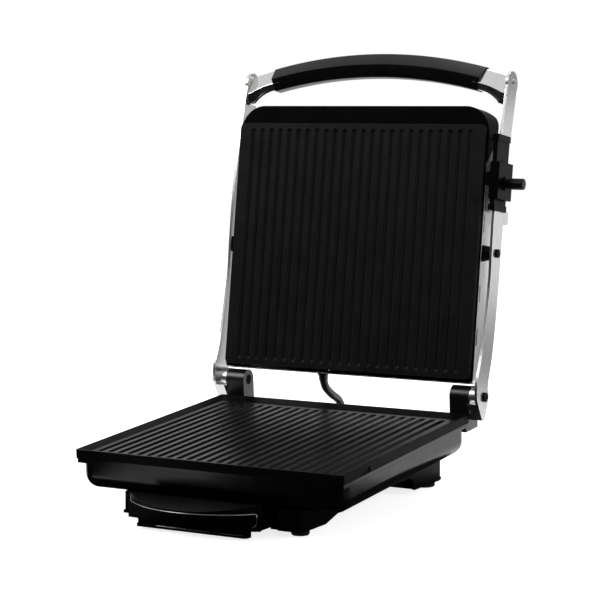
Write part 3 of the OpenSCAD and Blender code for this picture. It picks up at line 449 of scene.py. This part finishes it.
def headings(path):
    """The direction of a path at each of its points."""
    return [(path[min(i + 1, len(path) - 1)] - path[max(i - 1, 0)]).normalized()
        for i in range(len(path))]


def turns(count):
    """Angles that go once round in equal steps."""
    return [2 * math.pi * k / count for k in range(count)]


def loft(name, rings):
    """A closed skin over rings that all have the same number of points."""
    count = len(rings[0])
    points = [p for ring in rings for p in ring]
    faces = []
    for i in range(len(rings) - 1):
        for k in range(count):
            a, b = i * count + k, i * count + (k + 1) % count
            faces.append((a, b, b + count, a + count))
    faces.append(tuple(range(count))[::-1])
    faces.append(tuple(range(len(points) - count, len(points))))
    mesh = bpy.data.meshes.new(name)
    mesh.from_pydata([tuple(p) for p in points], [], faces)
    work = bmesh.new()
    work.from_mesh(mesh)
    bmesh.ops.recalc_face_normals(work, faces=work.faces)
    work.to_mesh(mesh)
    work.free()
    piece = bpy.data.objects.new(name, mesh)
    bpy.context.scene.collection.objects.link(piece)
    return piece


def finish_piece(piece, body, slot, sharp=40, nodes=(), look=None):
    """Material, smooth shading with sharp edges kept, the body it rides on and what it replaces."""
    piece.data.materials.append(materials[look or slot])
    piece.data.shade_smooth()
    piece.data.set_sharp_from_angle(angle=math.radians(sharp))
    if body:
        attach(piece, body)
    if nodes:
        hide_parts(*nodes)


# ---- Handle ----

HANDLE_UP = 0.352               # top of the arch, in the lid's frame
HANDLE_BACK = 0.020             # its middle, back from the hinge axis
HANDLE_ARCH = 0.520             # radius of the arch
HANDLE_SHARP = 50
ARM_IN = 0.157                  # from the middle to an arm's inner face
GRIP_HALF = 0.127
GRIP_STEPS = 44
GRIP_EVEN = 0.98                # part of the grip's half length that has its full section
GRIP_RIDGE = 0.0005             # height of the front ridge above the section's middle
GRIP_TIPS = ((1.0, 0.0016), (0.9985, 0.0006), (0.994, 0.0))     # part of the half length, inset

END_INSET = 0.0012              # the cast ends are slimmer than the grip
END_RIDGE = -0.0050             # their front ridge runs lower than the grip's
END_IN_GRIP = 0.006             # how far an end reaches into the grip
END_TO_ARM = 0.0002             # gap to the arm
END_STEPS = 14
FILLET_START = 0.3              # part of an end's length
FILLET_DROP = 0.009


def handle_section(inset, ridge, drop=0.0):
    """The handle's section as (up, back): a ridge along its front, a flat upper and lower front
    face and a round back. Drop lowers the underside, for the fillets at the arms."""
    foot = -0.0135 + inset - drop
    return rounded_loop([       # up, back, radius of each corner
        (0.0140 - inset, 0.0015, 0.0040),
        (ridge, -0.0120 + inset, 0.0012),
        (foot, -0.0085 + inset, 0.0030),
        (foot, 0.0085 - inset, 0.0050),
        (0.0010, 0.0120 - inset, 0.0080),
        (0.0125 - inset, 0.0100 - inset, 0.0035),
    ])


def handle_ring(x, section):
    """One section of the handle, square to its arch, at a distance from the middle."""
    turn = math.asin(x / HANDLE_ARCH)
    return [LID @ Vector((
        (HANDLE_ARCH + up) * math.sin(turn), HANDLE_BACK + back,
        HANDLE_UP - HANDLE_ARCH + (HANDLE_ARCH + up) * math.cos(turn)
    )) for up, back in section]


def add_grip():
    """The black grip, with rounded tips."""
    stations = [(-part * GRIP_HALF, inset) for part, inset in GRIP_TIPS]
    stations += [(GRIP_HALF * GRIP_EVEN * (2 * i / GRIP_STEPS - 1), 0.0)
        for i in range(GRIP_STEPS + 1)]
    stations += [(part * GRIP_HALF, inset) for part, inset in reversed(GRIP_TIPS)]
    rings = [handle_ring(x, handle_section(inset, GRIP_RIDGE)) for x, inset in stations]
    finish_piece(loft("grip", rings), "arms", "grip_black", HANDLE_SHARP,
        ["grip_front", "grip_rear"])


def add_handle_ends():
    """The cast ends between the grip and the arms, with a fillet that drops to each arm."""
    start, end = GRIP_HALF - END_IN_GRIP, ARM_IN - END_TO_ARM
    from_lid = LID.inverted()
    for side, name in ((-1, "left_handle_end"), (1, "right_handle_end")):
        rings = []
        for i in range(END_STEPS + 1):
            part = i / END_STEPS
            x = start + part * (end - start)
            drop = FILLET_DROP * max(0.0, (part - FILLET_START) / (1 - FILLET_START)) ** 2
            section = handle_section(END_INSET, END_RIDGE - drop / 3, drop)
            rings.append(handle_ring(side * x, section))
        # The last ring lies flat against the arm
        rings[-1] = [LID @ Vector((side * end, *(from_lid @ p)[1:])) for p in rings[-1]]
        finish_piece(loft(name, rings), "arms", "cast_silver", HANDLE_SHARP, ["handle_crossbar"])


# ---- Trim of the tray's front, and the hinge pins' sockets ----

BEAD_R = 0.0006
BEAD_SIDES = 10
BEAD_TIP = 0.4                  # part of its radius that a bead has at its ends
OFF_BEADS = Vector((0.3, -0.8, 0.5))    # a direction in which no bead runs

# The tray's front, in the CAD source's frame
PULL_R = 0.09667                # radius of the pull's round edge
PULL_MIDDLE = -0.09533          # the middle of that round, front to back
PULL_HALF = 0.070               # half the pull's width
PULL_LOW = 0.0264               # underside of the pull's lip
PULL_STEPS = 18
PULL_PART = 0.985               # part of the round edge that has the bead
PANEL_FRONT = -0.162
PANEL_BEAD = PANEL_FRONT - BEAD_R
SKIRT_BEAD = PANEL_FRONT - 0.0050       # the skirt's foot stands out below the panel
SKIRT_LOW = 0.0056

# The rim of a pin's socket, a little off the pin's end, and the socket's floor: distance from the
# middle, radius
SOCKET_STEPS = ((0.1256, 0.0030), (0.12535, 0.0030), (0.12535, 0.0026), (0.12555, 0.0024))
SOCKET_SIDES = 6


def add_bead(name, points):
    """A thin round bead on the tray's front, along a route."""
    path = smooth_route([in_source(*p) for p in points])
    rings = []
    for i, (middle, ahead) in enumerate(zip(path, headings(path))):
        side = ahead.cross(OFF_BEADS).normalized()
        up = ahead.cross(side)
        radius = BEAD_R * (BEAD_TIP if i in (0, len(path) - 1) else 1)
        rings.append([middle + (side * math.cos(a) + up * math.sin(a)) * radius
            for a in turns(BEAD_SIDES)])
    finish_piece(loft(name, rings), "tray", "trim_black", look="edge_gloss")


def add_tray_beads():
    """The bead under the pull's lip, which turns up at one end and curls in at the other, and the
    one on the skirt's foot."""
    edge = math.asin(PULL_HALF / PULL_R) * PULL_PART
    curve = [(-PULL_HALF + BEAD_R, PANEL_BEAD, z) for z in (0.0335, 0.0310, 0.0285)]
    for i in range(PULL_STEPS + 1):
        a = edge * (2 * i / PULL_STEPS - 1)
        curve.append((PULL_R * math.sin(a), PULL_MIDDLE - PULL_R * math.cos(a), PULL_LOW))
    curve += [(x, PANEL_BEAD, z) for x, z in (
        (0.0705, 0.0245), (0.0705, 0.0215), (0.0705, 0.0180), (0.0690, 0.0150), (0.0660, 0.0130))]
    add_bead("pull_bead", curve)
    add_bead("skirt_bead", [(-0.038 + 0.024 * i, SKIRT_BEAD, SKIRT_LOW) for i in range(5)])


def add_pin_sockets():
    """The six-sided key sockets in the pins' inner ends."""
    for side, name in ((-1, "left_pin_socket"), (1, "right_pin_socket")):
        rings = []
        for x, radius in SOCKET_STEPS:
            rings.append([DECK @ Vector((side * x, HINGE_BEHIND_DECK + radius * math.cos(a),
                HINGE_ABOVE_DECK + radius * math.sin(a))) for a in turns(SOCKET_SIDES)])
        finish_piece(loft(name, rings), "base", "black_steel", look="rubber_black")


# ---- Cable between the base and the lid ----

# Across from the middle, and the middle line's points back and up, in the CAD source's frame
CABLE_X = -0.042
CABLE_ROUTE = [
    (0.1943, 0.0380), (0.1991, 0.0380), (0.2049, 0.0388), (0.2119, 0.0420), (0.2174, 0.0475),
    (0.2206, 0.0545), (0.2213, 0.0622), (0.2193, 0.0697), (0.2149, 0.0761), (0.2089, 0.0803),
    (0.2025, 0.0834), (0.1963, 0.0864), (0.1894, 0.0908), (0.1838, 0.0947), (0.1802, 0.0990),
    (0.1778, 0.1044),
]
CABLE_R = 0.0045
CABLE_SIDES = 24
CABLE_SHARP = 60
CABLE_SPLIT = 0.70              # part of the cable in its first piece; the rest is its tip

GLAND_AT = (0.0196, 0.012)      # mouth of the lid's gland, back and up, in the lid's frame
GLAND_TILT = 10                 # turns that mouth towards the back
GLAND_GAP = 0.0001              # between the cable's end and that mouth

# Each cable relief: its piece's name, its body, and the points of the path that it covers
RELIEFS = (("base_relief", "base", slice(None, 8)), ("lid_relief", "head", slice(None, -6, -1)))
RELIEF_FOOT = 0.0057            # radius where it leaves its gland
RELIEF_TIP = 0.0049             # radius at its thin end
RELIEF_TAPER = 0.6              # below 1, it thins fastest near the gland


def tube_rings(path, radii):
    """Rings round a path that lies in a plane across the hinge."""
    rings = []
    for middle, ahead, radius in zip(path, headings(path), radii):
        across = Vector((0, ahead.z, -ahead.y))
        rings.append([middle + Vector((math.cos(a), 0, 0)) * radius + across * math.sin(a) * radius
            for a in turns(CABLE_SIDES)])
    return rings


def add_cable():
    """The cable, split into a sleeve and a tip, neither of which rides on a body. A tapered relief stands at
    either gland."""
    lean = math.radians(LID_LEAN - GLAND_TILT)
    mouth = LID @ Vector((CABLE_X, *GLAND_AT))
    end = mouth - Vector((0, math.sin(lean), math.cos(lean))) * GLAND_GAP
    path = smooth_route([in_source(CABLE_X, *p) for p in CABLE_ROUTE] + [end])
    split = int(len(path) * CABLE_SPLIT)
    rings = tube_rings(path, [CABLE_R] * len(path))

    tip = loft("link_cable_tip", rings[split:])
    finish_piece(tip, None, "cable_rubber", CABLE_SHARP)
    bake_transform(tip)
    cable = loft("link_cable_sleeve", rings[:split + 1])
    finish_piece(cable, None, "cable_rubber", CABLE_SHARP, ["link_cable"])
    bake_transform(cable)

    for name, body, covered in RELIEFS:
        part = path[covered]
        last = len(part) - 1
        radii = [RELIEF_FOOT - (RELIEF_FOOT - RELIEF_TIP) * (i / last) ** RELIEF_TAPER
            for i in range(last + 1)]
        finish_piece(loft(name, tube_rings(part, radii)), body, "cable_rubber", CABLE_SHARP)


bpy.context.scene.view_settings.view_transform = "Standard"
add_camera()
materials = make_materials()
add_cable()
for light in LIGHTS:
    add_area_light(*light)
add_world()
add_floor()
for flag in FLAGS:
    add_flag(*flag)
dress_cad_nodes()
add_grip()
add_handle_ends()
add_tray_beads()
add_pin_sockets()
